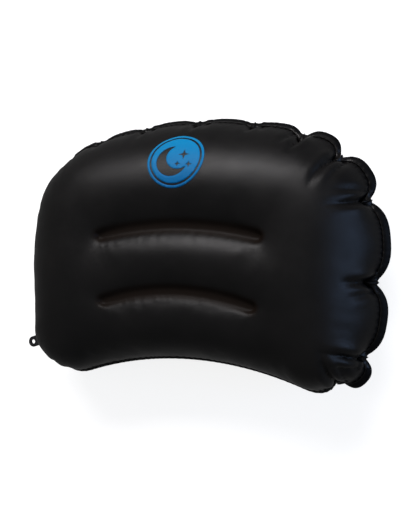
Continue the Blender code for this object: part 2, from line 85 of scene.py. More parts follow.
# where the full pillow folds at its weld: distances along it from the crown's middle
RIGHT_FOLDS = [0.004, 0.064, 0.116, 0.162, 0.218, 0.299, 0.372, 0.415]
LEFT_FOLDS = [0.057, 0.113, 0.158, 0.225, 0.334, 0.417]
FOLD_DEPTH = 0.005                     # how far a fold draws the weld in, over most of the edge
END_FOLD_DEPTH = 0.015                 # and at the pillow's right end, where the folds are deep
END_STARTS = 0.060                     # x where the folds begin to deepen, and where they are deepest
END_DEEPEST = 0.150
WELD_INSET = 0.004                     # the full cloth stands this far outside its weld
LONGEST_LOBE = 0.120                   # past this a gap between folds has a straight middle
LONG_GAP_FADE = 0.035

# ---- slots: half length, y at the ends, y in the middle
WEB_HALF_THICKNESS = 0.0004


def web_arc(name):
    low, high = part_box(name)
    return high.x, low.y + WEB_HALF_THICKNESS, high.y - WEB_HALF_THICKNESS


SLOTS = [web_arc("upper_baffle"), web_arc("lower_baffle")]
PATTERN_SLOTS = [(0.090, 0.018, 0.029), (0.085, -0.062, -0.048)]
SLOT_HALOS = [0.0035, 0.0075, 0.0125]  # rings of points round each slot, by distance
STRIP_HALF_WIDTH = 0.0030              # the panel is flat on its web over this
SLOT_LIGHT_FULL = 0.0045                    # how far the painted light on the slot walls reaches in full, and over what it dies away
SLOT_LIGHT_FADE = 0.0060
SLOT_SAMPLES = 60

# ---- cut pattern of one panel and its inflation
PATTERN_MARGIN = 0.050                 # how much wider than the weld the panel is cut
PATTERN_STEP = 0.006
RIM_STEP = 0.0029
STEP_GROWTH = 1.18
GRADED_DEPTH = 0.028
START_SWELL = 0.045
START_REACH = 0.025
BLOWN_RISE = 0.0540                    # half thickness that the cloth reaches under pressure
BLOW_FRAMES = 12
RELAX_ROUNDS = 500
CLEAR_SHARE = 0.6                      # share of a step that the grid keeps off other points


def unit_rows(vectors):
    return vectors / np.linalg.norm(vectors, axis=1)[:, None]


def smooth_step(share):
    share = np.clip(share, 0.0, 1.0)
    return share * share * (3.0 - 2.0 * share)


def add_object(name, data):
    piece = bpy.data.objects.new(name, data)
    bpy.context.scene.collection.objects.link(piece)
    return piece


def discard(piece):
    mesh = piece.data
    bpy.data.objects.remove(piece)
    bpy.data.meshes.remove(mesh)


def mesh_from(name, bm):
    mesh = bpy.data.meshes.new(name)
    bm.to_mesh(mesh)
    bm.free()
    return mesh


# ---- the weld line
def walk_arc(start, heading, radius, turn):
    """Points (x, y, heading) along an arc that leaves start clockwise from +Y."""
    count = max(1, round(math.radians(abs(turn)) * radius / WELD_STEP))
    step = turn / count
    chord = 2.0 * radius * math.sin(math.radians(abs(step)) / 2.0)
    x, y = start
    points = []
    for _ in range(count):
        middle = math.radians(heading + step / 2.0)
        x += chord * math.cos(middle)
        y -= chord * math.sin(middle)
        heading += step
        points.append((x, y, heading))
    return points


def half_weld():
    """The right half, from the crown's middle to the middle of the neck edge."""
    points = [(0.0, CROWN_TOP, 0.0)]
    for radius, turn in SIDE_ARCS:
        points += walk_arc(points[-1][:2], points[-1][2], radius, turn)
    x, _, heading = points[-1]
    turn = heading - 180.0
    points += walk_arc(points[-1][:2], heading, x / math.sin(math.radians(turn)), -turn)
    return np.array(points)


class Weld:
    """The closed weld line, measured by distance along it from the crown's middle."""

    def __init__(self):
        right = half_weld()
        left = right[1:-1][::-1]
        heading = np.radians(right[:, 2])
        normal = np.column_stack([np.sin(heading), np.cos(heading)])
        mirror = np.array([-1.0, 1.0])
        self.points = np.vstack([right[:, :2], left[:, :2] * mirror])
        self.normals = np.vstack([normal, normal[1:-1][::-1] * mirror])
        gaps = np.linalg.norm(np.roll(self.points, -1, axis=0) - self.points, axis=1)
        self.stations = np.concatenate([[0.0], np.cumsum(gaps)])
        self.length = self.stations[-1]
        folds = RIGHT_FOLDS + [self.length - fold for fold in LEFT_FOLDS]
        self.folds = np.sort(np.array(folds))

    def sample(self, values, stations):
        closed = np.vstack([values, values[:1]])
        stations = np.mod(stations, self.length)
        columns = [np.interp(stations, self.stations, column) for column in closed.T]
        return np.column_stack(columns)

    def at(self, stations):
        """Points on the line and unit vectors pointing away from the pillow."""
        return self.sample(self.points, stations), unit_rows(self.sample(self.normals, stations))

    def towards_end(self, stations):
        """Nothing over most of the edge, one at the right end."""
        x = self.at(stations)[0][:, 0]
        return smooth_step((x - END_STARTS) / (END_DEEPEST - END_STARTS))

    def pull_in(self, stations):
        """How far the tight cloth draws the weld in: most at a fold, nothing between."""
        stations = np.mod(stations, self.length)
        after = np.searchsorted(self.folds, stations) % len(self.folds)
        start = self.folds[after - 1]
        gap = np.mod(self.folds[after] - start, self.length)
        passed = np.mod(stations - start, self.length)
        lobe = np.abs(2.0 * passed / gap - 1.0) ** 3
        nearest = np.minimum(passed, gap - passed)
        straight = np.clip(1.0 - nearest / LONG_GAP_FADE, 0.0, 1.0) ** 3
        depth = FOLD_DEPTH + (END_FOLD_DEPTH - FOLD_DEPTH) * self.towards_end(stations)
        return WELD_INSET + depth * np.where(gap > LONGEST_LOBE, straight, lobe)

    def drawn_in(self, stations):
        points, normals = self.at(stations)
        return points - normals * self.pull_in(stations)[:, None]


# ---- the flat panel
def slot_line(slot, shares):
    """Points on a slot's arc; shares run from 0 to 1 along it."""
    half, end_y, middle_y = slot
    sag = middle_y - end_y
    radius = (half * half + sag * sag) / (2.0 * sag)
    angle = math.asin(half / radius) * (2.0 * np.asarray(shares) - 1.0)
    return np.column_stack([radius * np.sin(angle), middle_y - radius + radius * np.cos(angle)])


def inside(points, loop):
    """Which points lie within a closed loop, by counting crossings."""
    found = np.zeros(len(points), bool)
    x, y = points[:, 0], points[:, 1]
    for (ax, ay), (bx, by) in zip(loop, np.roll(loop, 1, axis=0)):
        if ay == by:
            continue
        crosses = (ay > y) != (by > y)
        found ^= crosses & (x < (bx - ax) * (y - ay) / (by - ay) + ax)
    return found


def nearest_distance(points, others):
    gaps = points[:, None, :] - others[None, :, :]
    return np.sqrt((gaps ** 2).sum(axis=2)).min(axis=1)


def lattice(low, high, step):
    """A triangular grid of points over a rectangle."""
    rows = []
    for row, y in enumerate(np.arange(low[1], high[1], step * math.sqrt(0.75))):
        xs = np.arange(low[0] + (row % 2) * step / 2.0, high[0], step)
        rows.append(np.column_stack([xs, np.full(len(xs), y)]))
    return np.vstack(rows)


def triangulated(points, edges, outlines, kind, merge):
    """Points and triangles that keep the given edges, and the given points behind each new one."""
    found = delaunay_2d_cdt([Vector(p) for p in points], edges, outlines, kind, merge)
    flat = np.array([tuple(p) for p in found[0]])
    return flat, np.array([list(face) for face in found[2]]), found[3]


def points_round(x, y, reach, angle):
    return np.column_stack([x + reach * np.cos(angle), y + reach * np.sin(angle)])


def halo(line, distance, step):
    """Points at one distance all round an open line."""
    ahead = unit_rows(np.gradient(line, axis=0))
    across = np.column_stack([-ahead[:, 1], ahead[:, 0]])
    keep = max(1, round(step / np.linalg.norm(line[1] - line[0])))
    sides = [(line + across * distance)[::keep], (line - across * distance)[::keep]]
    ends = []
    count = max(3, round(math.pi * distance / step) + 1)
    for tip, away in ((line[0], -ahead[0]), (line[-1], ahead[-1])):
        facing = math.atan2(away[1], away[0])
        angle = facing + np.linspace(-math.pi / 2.0, math.pi / 2.0, count + 2)[1:-1]
        ends.append(points_round(*tip, distance, angle))
    return np.vstack(sides + ends)


def graded_rings(weld):
    """Rings of points inside the cut edge that open out from the rim's step to the pattern's."""
    rings = []
    depth, step = 0.0, RIM_STEP
    while depth < GRADED_DEPTH:
        depth += step * math.sqrt(0.75)
        count = int(weld.length / step)
        shift = 0.5 * (len(rings) % 2)
        points, normals = weld.at((np.arange(count) + shift) * weld.length / count)
        rings.append(points + normals * (PATTERN_MARGIN - depth))
        step = min(PATTERN_STEP, step * STEP_GROWTH)
    return rings


class Pattern:
    """One panel as it is cut: flat points, triangles, and which points lie on the edge and slots."""

    def __init__(self, weld):
        count = int(weld.length / RIM_STEP)
        self.rim_stations = np.arange(count) * weld.length / count
        edge, normals = weld.at(self.rim_stations)
        edge = edge + normals * PATTERN_MARGIN
        shares = np.linspace(0.0, 1.0, round(2.0 * SLOTS[0][0] / SLOT_HALOS[0]))
        lines = [slot_line(slot, shares) for slot in PATTERN_SLOTS]
        rings = graded_rings(weld)
        grid = lattice(edge.min(axis=0), edge.max(axis=0), PATTERN_STEP)
        room = CLEAR_SHARE * PATTERN_STEP
        grid = grid[inside(grid, rings[-1]) & (nearest_distance(grid, rings[-1]) > room)]
        strips = [halo(line, SLOT_HALOS[0], SLOT_HALOS[0]) for line in lines]
        halos = []
        for line in lines:
            grid = grid[nearest_distance(grid, line) > SLOT_HALOS[-1] + room]
            steps = np.linspace(SLOT_HALOS[0], PATTERN_STEP, len(SLOT_HALOS))[1:]
            halos += [halo(line, distance, step) for distance, step in zip(SLOT_HALOS[1:], steps)]
        edges = [(i, (i + 1) % count) for i in range(count)]
        start = count
        for line in lines:
            edges += [(start + i, start + i + 1) for i in range(len(line) - 1)]
            start += len(line)
        points = np.vstack([edge] + lines + strips + halos + rings + [grid])
        self.flat, self.faces, origins = triangulated(points, edges, [list(range(count))], 1, 1e-7)
        place = {old: new for new, sources in enumerate(origins) for old in sources}
        self.rim = np.array([place[i] for i in range(count)])
        self.slots = []
        start = count
        for line in lines + strips:
            self.slots.append(np.array([place[start + i] for i in range(len(line))]))
            start += len(line)
        self.shares = shares
        self.depth = nearest_distance(self.flat, edge)
        self.turn_faces_up()

    def turn_faces_up(self):
        a = self.flat[self.faces[:, 1]] - self.flat[self.faces[:, 0]]
        b = self.flat[self.faces[:, 2]] - self.flat[self.faces[:, 0]]
        down = a[:, 0] * b[:, 1] - a[:, 1] * b[:, 0] < 0
        self.faces[down] = self.faces[down][:, ::-1]

    def gathered(self, weld):
        """Flat points moved so that the cut edge lands on the drawn-in weld and slots on the webs."""
        sides = np.vstack([self.faces[:, [0, 1]], self.faces[:, [1, 2]], self.faces[:, [2, 0]]])
        sides = np.unique(np.sort(sides, axis=1), axis=0)
        fixed = np.concatenate([self.rim] + self.slots)
        goals = [weld.drawn_in(self.rim_stations)]
        lines = [slot_line(slot, self.shares) for slot in SLOTS]
        goals += lines + [halo(line, STRIP_HALF_WIDTH, SLOT_HALOS[0]) for line in lines]
        moves = np.vstack(goals) - self.flat[fixed]
        total = len(self.flat)
        neighbours = np.bincount(sides.ravel(), minlength=total)[:, None]
        field = np.zeros((total, 2))
        field[fixed] = moves
        for _ in range(RELAX_ROUNDS):
            sums = [
                np.bincount(sides[:, 0], weights=field[sides[:, 1], axis], minlength=total)
                + np.bincount(sides[:, 1], weights=field[sides[:, 0], axis], minlength=total)
                for axis in range(2)
            ]
            field = np.column_stack(sums) / neighbours
            field[fixed] = moves
        return self.flat + field


# ---- inflation
def web_heights():
    """Heights of the two welds of the webs, above and below the seam, in the blown cloth's units."""
    above = (UPPER_WEB_HIGH.z + SKIN_GAP + SKIN - SEAM_HEIGHT) / FRONT_RISE
    below = (SEAM_HEIGHT - UPPER_WEB_LOW.z + SKIN_GAP + SKIN) / BACK_RISE
    return BLOWN_RISE * above, BLOWN_RISE * below


def cloth_object(points, rest, faces, pinned):
    mesh = bpy.data.meshes.new("blown_cloth")
    mesh.from_pydata(points.tolist(), [], faces.tolist())
    piece = add_object("blown_cloth", mesh)
    group = piece.vertex_groups.new(name="pinned")
    group.add(pinned.tolist(), 1.0, "REPLACE")
    piece.shape_key_add(name="start")
    key = piece.shape_key_add(name="cut")
    key.data.foreach_set("co", rest.astype(np.float32).ravel())
    key.value = 0.0
    return piece, key


def set_cloth(piece, key):
    cloth = piece.modifiers.new("Cloth", "CLOTH")
    cloth.collision_settings.use_collision = False
    cloth.collision_settings.use_self_collision = False
    cloth.point_cache.frame_start = 1
    cloth.point_cache.frame_end = BLOW_FRAMES
    settings = cloth.settings
    settings.quality = 8
    settings.mass = 0.05
    settings.tension_stiffness = 15
    settings.compression_stiffness = 0.1
    settings.shear_stiffness = 1
    settings.bending_stiffness = 0.005
    settings.tension_damping = 8
    settings.compression_damping = 8
    settings.shear_damping = 8
    settings.bending_damping = 0.5
    settings.air_damping = 3
    settings.use_pressure = True
    settings.uniform_pressure_force = 100
    settings.vertex_group_mass = "pinned"
    settings.pin_stiffness = 50
    settings.effector_weights.gravity = 0
    settings.rest_shape_key = key


def blow_up(pattern, weld):
    """Welds two flat panels along the drawn-in rim, fills them with air and returns both surfaces."""
    count = len(pattern.flat)
    on_rim = np.zeros(count, bool)
    on_rim[pattern.rim] = True
    twin = np.empty(count, int)
    twin[on_rim] = np.flatnonzero(on_rim)
    twin[~on_rim] = count + np.arange((~on_rim).sum())
    across = pattern.gathered(weld)
    height = START_SWELL * (1.0 - np.exp(-pattern.depth / START_REACH))
    above, below = height.copy(), height.copy()
    high, low = web_heights()
    for line in pattern.slots:
        above[line] = high
        below[line] = low
    above[on_rim] = 0.0
    front = np.column_stack([across, above])
    back = np.column_stack([across, -below])[~on_rim]
    flat = np.column_stack([pattern.flat, np.zeros(count)])
    faces = np.vstack([pattern.faces, twin[pattern.faces][:, ::-1]])
    pinned = np.concatenate([pattern.rim] + pattern.slots + [twin[line] for line in pattern.slots])
    piece, key = cloth_object(np.vstack([front, back]), np.vstack([flat, flat[~on_rim]]), faces, pinned)
    set_cloth(piece, key)
    scene = bpy.context.scene
    scene.frame_start = 1
    scene.frame_end = BLOW_FRAMES
    for step in range(1, BLOW_FRAMES + 1):
        scene.frame_set(step)
    blown = piece.evaluated_get(bpy.context.evaluated_depsgraph_get())
    points = read_points(blown.data)
    discard(piece)
    scene.frame_set(1)
    return points[:count], points[twin]


# ---- from blown cloth to the finished panels
BACK_PRESS = 0.004                     # how far the back would sink past the floor, pressed flat
RESTING_ROUND = 0.006                  # how softly the back turns onto the floor
PUCKER_LENGTH = 0.0062
PUCKER_HEIGHT = 0.0006
PUCKER_REACH = 0.0075
FLANGE_PUCKER = 0.3                    # the puckers' share on the flange
WANDER = [(0.35, 71.0, 0.0), (0.25, 173.0, 1.3)]
UNEVEN_SHARE = 0.35                    # the puckers' heights vary by this, in two slow waves
UNEVEN_WAVES = [(47.0, 0.6), (119.0, 0.0)]
WELD_HIGHLIGHT_REACH = 0.010                     # how far from the weld the painted highlight and the smoother finish reach
CREASE_DEPTH = 0.0070
CREASE_WIDTH = 0.0027
CREASE_LIP = 0.0014
CREASE_LIP_PLACE = 0.0075
CREASE_LIP_WIDTH = 0.0038
CREASE_FADE = 1.4                      # power by which a crease dies away along its length
CREASE_SHORT = 0.012                   # creases over most of the edge, and at the right end
CREASE_LONG = 0.034
CREASE_BEND = 6.0
CREASE_STRENGTH = 0.5
CREASE_SWING = (2.4, 0.7)              # pace and shift of the waves that vary the creases
CREASE_UNEVEN = (1.9, 0.2)
SECOND_CREASE = 0.45                   # a weaker fold beside each one
SECOND_CREASE_SHIFT = 0.0105
SECOND_CREASE_SPLAY = 0.25
SECOND_CREASE_LENGTH = 0.6
BLOCK = 4000                           # points compared with the weld at a time
VALVE_FLAT = 0.0190
VALVE_BLEND = 0.034
VALVE_OPENING = 0.0138
VALVE_BEHIND = 0.030                   # cloth further from the valve's plane stays put
VALVE_SEAM_FADE = 0.006                # and the flat patch dies away this near the weld
VALVE_FLANGE_EDGE = 0.0153             # the valve's outer flange lies beyond this radius


def soft_floor(height):
    """Heights above the floor, flat where the pillow rests and round where it lifts off."""
    lifted = np.maximum(height + RESTING_ROUND, 0.0)
    round_off = lifted ** 2 / (4.0 * RESTING_ROUND)
    return np.where(height > RESTING_ROUND, height, round_off)


def front_shape(points):
    shaped = points.copy()
    shaped[:, 2] = SEAM_HEIGHT + points[:, 2] * FRONT_RISE / max(points[:, 2].max(), BLOWN_RISE)
    return shaped


def back_shape(points):
    shaped = points.copy()
    depth = -points[:, 2]
    lowest = SEAM_HEIGHT - depth * (BACK_RISE + BACK_PRESS) / max(depth.max(), BLOWN_RISE)
    shaped[:, 2] = np.minimum(soft_floor(lowest), SEAM_HEIGHT)
    return shaped


def with_flange(points, faces, pattern, weld, side):
    """Adds the flat weld outside the rim; side is 1 for the upper layer, -1 for the lower one."""
    _, normals = weld.at(pattern.rim_stations)
    rim = points[pattern.rim]
    on_neck = smooth_step((-normals[:, 1] - NECK_FACING) / NECK_FADE)
    at_end = weld.towards_end(pattern.rim_stations)
    width = FLANGE_WIDTH + (END_FLANGE_WIDTH - FLANGE_WIDTH) * at_end
    width += (NECK_FLANGE_WIDTH - width) * on_neck
    rings = [pattern.rim]
    layers = [points]
    for ring in range(1, FLANGE_RINGS + 1):
        share = ring / FLANGE_RINGS
        outer = rim.copy()
        outer[:, :2] += normals * (width * share)[:, None]
        outer[:, 2] = SEAM_HEIGHT + side * SKIN / 2.0 - FLANGE_DROOP * share * share
        rings.append(len(points) + (ring - 1) * len(rim) + np.arange(len(rim)))
        layers.append(outer)
    strips = []
    for inner, outer in zip(rings, rings[1:]):
        ahead_inner, ahead_outer = np.roll(inner, -1), np.roll(outer, -1)
        strips.append(np.column_stack([inner, ahead_inner, ahead_outer, outer]))
    quads = np.vstack(strips)
    if side > 0:
        quads = quads[:, ::-1]
    return np.vstack(layers), faces.tolist() + quads.tolist()


def subdivided(name, points, polygons):
    """A new mesh, one Catmull-Clark level finer."""
    mesh = bpy.data.meshes.new(name)
    mesh.from_pydata(points.tolist(), [], polygons)
    piece = add_object(name, mesh)
    finer = piece.modifiers.new("Subdivision", "SUBSURF")
    finer.levels = 1
    bpy.context.view_layer.update()
    result = bpy.data.meshes.new_from_object(piece.evaluated_get(bpy.context.evaluated_depsgraph_get()))
    discard(piece)
    result.name = name
    return result


def read_points(mesh, what="co"):
    """The vertices' places, or their normals, as rows."""
    values = np.empty(len(mesh.vertices) * 3, np.float32)
    mesh.vertices.foreach_get(what, values)
    return values.reshape(-1, 3).astype(float)


def write_points(mesh, points):
    mesh.vertices.foreach_set("co", points.astype(np.float32).ravel())
    mesh.update()


def weld_places(points, weld):
    """Station of the nearest weld point, the distance to it and whether it is passed, for each point."""
    stations = np.arange(0.0, weld.length, 2.0 * WELD_STEP)
    line = weld.drawn_in(stations)
    line = np.column_stack([line, np.full(len(line), SEAM_HEIGHT)])
    nearest = np.empty(len(points), int)
    distance = np.empty(len(points))
    for start in range(0, len(points), BLOCK):
        part = points[start:start + BLOCK]
        gaps = ((part[:, None, :] - line[None, :, :]) ** 2).sum(axis=2)
        index = gaps.argmin(axis=1)
        nearest[start:start + BLOCK] = index
        distance[start:start + BLOCK] = np.sqrt(gaps[np.arange(len(part)), index])
    ahead = np.roll(line, -1, axis=0) - np.roll(line, 1, axis=0)
    offset = points - line[nearest]
    along = (offset * unit_rows(ahead[nearest])).sum(axis=1)
    _, normals = weld.at(stations[nearest])
    outside = (offset[:, :2] * normals).sum(axis=1) > 0.5 * distance
    return stations[nearest] + np.clip(along, -WELD_STEP, WELD_STEP), distance, outside


def pucker(stations, distance, outside):
    """Fine ripples that the weld leaves in the cloth beside it, faint on the flange outside it."""
    wander = sum(share * np.sin(stations * pace + shift) for share, pace, shift in WANDER)
    ripple = np.sin(2.0 * math.pi * (stations / PUCKER_LENGTH + wander))
    first, second = (np.sin(stations * pace + shift) for pace, shift in UNEVEN_WAVES)
    uneven = 1.0 - UNEVEN_SHARE + UNEVEN_SHARE * first * second
    height = PUCKER_HEIGHT * np.where(outside, FLANGE_PUCKER, 1.0)
    return height * ripple * uneven * np.exp(-(distance / PUCKER_REACH) ** 2)


def one_crease(along, across, length, strength):
    fade = np.clip(1.0 - np.maximum(along, 0.0) / length, 0.0, 1.0) ** CREASE_FADE
    valley = CREASE_DEPTH * np.exp(-np.abs(across) / CREASE_WIDTH)
    lip = CREASE_LIP * np.exp(-((np.abs(across) - CREASE_LIP_PLACE) / CREASE_LIP_WIDTH) ** 2)
    return strength * fade * (lip - valley)


def creases(points, weld):
    """Folds that run in from the weld at each gathered place."""
    moved = np.zeros(len(points))
    notches = weld.drawn_in(weld.folds)
    _, normals = weld.at(weld.folds)
    ends = weld.towards_end(weld.folds)
    for index, (notch, normal, end) in enumerate(zip(notches, normals, ends)):
        offset = points[:, :2] - notch
        tangent = np.array([normal[1], -normal[0]])
        along = -(offset @ normal)
        across = offset @ tangent
        near = (along > -2.0 * FLANGE_WIDTH) & (along < CREASE_LONG) & (np.abs(across) < CREASE_LONG)
        swing = math.sin(CREASE_SWING[0] * index + CREASE_SWING[1])
        uneven = 1.0 - CREASE_UNEVEN[1] + CREASE_UNEVEN[1] * math.cos(CREASE_UNEVEN[0] * index)
        length = (CREASE_SHORT + (CREASE_LONG - CREASE_SHORT) * end) * uneven
        strength = CREASE_STRENGTH + (1.0 - CREASE_STRENGTH) * end
        bent = across - CREASE_BEND * swing * along ** 2
        moved += np.where(near, one_crease(along, bent, length, strength), 0.0)
        side = 1.0 if swing > 0 else -1.0
        beside = across - side * (SECOND_CREASE_SHIFT + SECOND_CREASE_SPLAY * along)
        second = one_crease(along, beside, SECOND_CREASE_LENGTH * length, strength * SECOND_CREASE)
        moved += np.where(near, second, 0.0)
    return moved


def valve_axes():
    """Matrix of the valve in the frame: X up the slope, Y along the pillow's end, Z outwards."""
    slide = Vector(JOINTS["diaphragm_slide"]["axis"]).normalized()
    hinge = Vector(JOINTS["plug_hinge"]["axis"]).normalized()
    out = -slide
    up = -hinge
    along = out.cross(up)
    matrix = Matrix((up, along, out)).transposed().to_4x4()
    low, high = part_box("valve_backing_ring")
    middle = (low + high) / 2.0
    matrix.translation = middle
    inner = matrix.inverted()
    corners = [inner @ Vector(v.co) for v in frame["nodes"]["valve_base"].data.vertices]
    flange_low = min(corner.z for corner in corners if corner.xy.length > VALVE_FLANGE_EDGE)
    matrix.translation = middle + out * flange_low
    return matrix


def seat_valve(mesh, valve):
    """Flattens the back panel under the valve's flange and opens it where the valve's neck passes."""
    points = read_points(mesh)
    turn = np.array(valve.to_3x3())
    local = (points - np.array(valve.translation)) @ turn
    radius = np.hypot(local[:, 0], local[:, 1])
    weight = 1.0 - smooth_step((radius - VALVE_FLAT) / (VALVE_BLEND - VALVE_FLAT))
    weight *= np.abs(local[:, 2]) < VALVE_BEHIND
    weight *= smooth_step((SEAM_HEIGHT - points[:, 2]) / VALVE_SEAM_FADE)
    local[:, 2] += weight * (-SKIN_GAP - local[:, 2])
    write_points(mesh, local @ turn.T + np.array(valve.translation))
    opening = (radius < VALVE_OPENING) & (weight > 0.5)
    bm = bmesh.new()
    bm.from_mesh(mesh)
    bm.verts.ensure_lookup_table()
    doomed = [bm.verts[i] for i in np.flatnonzero(opening).tolist()]
    bmesh.ops.delete(bm, geom=doomed, context="VERTS")
    bm.to_mesh(mesh)
    bm.free()


def store(mesh, name, values):
    """Keeps one number per point under a name that a material can read."""
    layer = mesh.attributes.new(name, "FLOAT", "POINT")
    layer.data.foreach_set("value", values.astype(np.float32))


def add_detail(mesh, weld):
    """Puckers and creases, and how near each point is to the weld and the slots, for the material's painted
    highlight and painted light.
    """
    points = read_points(mesh)
    stations, distance, outside = weld_places(points, weld)
    moved = pucker(stations, distance, outside) + creases(points, weld)
    write_points(mesh, points + read_points(mesh, "normal") * moved[:, None])
    mark_flange(mesh, outside)
    store(mesh, "weld_highlight_nearness", np.exp(-distance / WELD_HIGHLIGHT_REACH))
    shares = np.linspace(0.0, 1.0, SLOT_SAMPLES)
    gaps = [nearest_distance(points[:, :2], slot_line(slot, shares)) for slot in SLOTS]
    store(mesh, "slot_light_nearness", smooth_step(1.0 - (np.min(gaps, axis=0) - SLOT_LIGHT_FULL) / SLOT_LIGHT_FADE))


def mark_flange(mesh, outside):
    """The flange's faces take the piece's second material."""
    for polygon in mesh.polygons:
        if all(outside[i] for i in polygon.vertices):
            polygon.material_index = 1


def panel_piece(mesh, thickness, side):
    """A smooth piece with a thickness; side is -1 for inwards, 1 for outwards."""
    for polygon in mesh.polygons:
        polygon.use_smooth = True
    piece = add_object(mesh.name, mesh)
    skin = piece.modifiers.new("Skin", "SOLIDIFY")
    skin.thickness = thickness
    skin.offset = side
    return piece


def keep_on_floor(mesh):
    points = read_points(mesh)
    points[:, 2] = np.maximum(points[:, 2], 0.0)
    write_points(mesh, points)


def pillow_panels(weld, valve):
    pattern = Pattern(weld)
    front, back = blow_up(pattern, weld)
    meshes = []
    for name, points, faces, side in (
        ("pillow_front", front_shape(front), pattern.faces, 1),
        ("pillow_back", back_shape(back), pattern.faces[:, ::-1], -1),
    ):
        mesh = subdivided(name, *with_flange(points, faces, pattern, weld, side))
        add_detail(mesh, weld)
        meshes.append(mesh)
    keep_on_floor(meshes[1])
    seat_valve(meshes[1], valve)
    return [panel_piece(mesh, SKIN, -1.0) for mesh in meshes]


# ---- the printed emblem: a round badge with a crescent and stars
EMBLEM_CENTRE = (EMBLEM_LOW.xy + EMBLEM_HIGH.xy) / 2.0
EMBLEM_RADIUS = (EMBLEM_HIGH.x - EMBLEM_LOW.x) / 2.0
EMBLEM_STEP = 0.0016
EMBLEM_LIFT = 0.00015
EMBLEM_FILM = 0.00012
RING_INNER = 0.915
DISC_SHARE = 0.855
MOON = (-0.10, -0.06, 0.56)            # centre and radius, as shares of the emblem's radius
MOON_BITE = (0.13, 0.08, 0.46)
STARS = [(0.28, 0.16, 0.20), (0.10, -0.20, 0.11), (0.50, -0.22, 0.13)]
STAR_WAIST = 0.30
STAR_CORNERS = 8
EMBLEM_CLEAR = 0.55                    # share of a step that the grid keeps off the outlines


def circle_loop(x, y, radius):
    count = max(16, round(2.0 * math.pi * radius * EMBLEM_RADIUS / EMBLEM_STEP))
    angle = np.arange(count) * 2.0 * math.pi / count
    return points_round(x, y, radius, angle)


def star_loop(x, y, radius):
    corner = np.arange(STAR_CORNERS)
    angle = corner * 2.0 * math.pi / STAR_CORNERS + math.pi / 2.0
    reach = radius * np.where(corner % 2 == 0, 1.0, STAR_WAIST)
    return points_round(x, y, reach, angle)


def moon_loop():
    """A crescent: the outer circle's arc outside the bite, and back along the bite."""
    outer = circle_loop(*MOON)
    bite = circle_loop(*MOON_BITE)
    bite_centre, moon_centre = np.array(MOON_BITE[:2]), np.array(MOON[:2])
    outer = outer[np.linalg.norm(outer - bite_centre, axis=1) > MOON_BITE[2]]
    bite = bite[np.linalg.norm(bite - moon_centre, axis=1) < MOON[2]]
    away = moon_centre - bite_centre
    facing = math.atan2(away[1], away[0])

    def order(points, centre):
        angle = np.arctan2(points[:, 1] - centre[1], points[:, 0] - centre[0])
        return points[np.argsort(np.mod(angle - facing + math.pi, 2.0 * math.pi))]

    return np.vstack([order(outer, moon_centre), order(bite, bite_centre)[::-1]])


def emblem_mesh():
    """Flat triangles of the printed areas, in shares of the emblem's radius."""
    cutouts = [moon_loop()] + [star_loop(*star) for star in STARS]
    rounds = [circle_loop(0.0, 0.0, radius) for radius in (1.0, RING_INNER, DISC_SHARE)]
    loops = rounds + cutouts
    step = EMBLEM_STEP / EMBLEM_RADIUS
    grid = lattice((-1.0, -1.0), (1.0, 1.0), step)
    for loop in loops:
        grid = grid[nearest_distance(grid, loop) > EMBLEM_CLEAR * step]
    grid = grid[np.linalg.norm(grid, axis=1) < 1.0]
    edges = []
    start = 0
    for loop in loops:
        count = len(loop)
        edges += [(start + i, start + (i + 1) % count) for i in range(count)]
        start += count
    points = np.vstack(loops + [grid])
    flat, faces, _ = triangulated(points, edges, [], 0, 1e-6)
    centres = flat[faces].mean(axis=1)
    reach = np.linalg.norm(centres, axis=1)
    printed = ((reach < 1.0) & (reach > RING_INNER)) | (reach < DISC_SHARE)
    for loop in cutouts:
        printed &= ~inside(centres, loop)
    return flat, faces[printed]


def emblem(front):
    """Lays the flat print on the front panel and gives it the thickness of a film."""
    flat, faces = emblem_mesh()
    panel = BVHTree.FromObject(front, bpy.context.evaluated_depsgraph_get())
    above = Vector((EMBLEM_CENTRE.x, EMBLEM_CENTRE.y, FRONT_HIGH.z + EMBLEM_RADIUS))
    centre, facing, _, _ = panel.ray_cast(above, Vector((0.0, 0.0, -1.0)))
    up = facing.cross(Vector((1.0, 0.0, 0.0))).normalized()
    right = up.cross(facing)
    points = []
    for x, y in flat:
        start = centre + (right * x + up * y + facing) * EMBLEM_RADIUS
        place, normal, _, _ = panel.ray_cast(start, -facing)
        points.append(place + normal * EMBLEM_LIFT)
    bm = bmesh.new()
    verts = [bm.verts.new(point) for point in points]
    for face in faces.tolist():
        bm.faces.new([verts[i] for i in face])
    loose = [vert for vert in bm.verts if not vert.link_faces]
    bmesh.ops.delete(bm, geom=loose, context="VERTS")
    bmesh.ops.recalc_face_normals(bm, faces=bm.faces)
    if sum(face.normal.z for face in bm.faces) < 0:
        bmesh.ops.reverse_faces(bm, faces=bm.faces)
    return panel_piece(mesh_from("emblem_print", bm), EMBLEM_FILM, 1.0)


# ---- the valve's straps
STRAP_THICKNESS = 0.0010
STRAP_ROUND = 0.0003
STRAP_STEP = 0.0004
BEND_STEPS = 8


def along_path(corners, bend):
    """Points along straight runs joined by a rounded bend of that radius."""
    path = [Vector(corners[0])]
    for before, corner, after in zip(corners, corners[1:], corners[2:]):
        corner = Vector(corner)
        back = (Vector(before) - corner).normalized()
        ahead = (Vector(after) - corner).normalized()
        for step in range(BEND_STEPS + 1):
            share = step / BEND_STEPS
            start, end = corner + back * bend, corner + ahead * bend
            path.append(start.lerp(corner, share).lerp(corner.lerp(end, share), share))
    path.append(Vector(corners[-1]))
    fine = [path[0]]
    for a, b in zip(path, path[1:]):
        parts = max(1, round((b - a).length / STRAP_STEP))
        fine += [a.lerp(b, part / parts) for part in range(1, parts + 1)]
    return fine


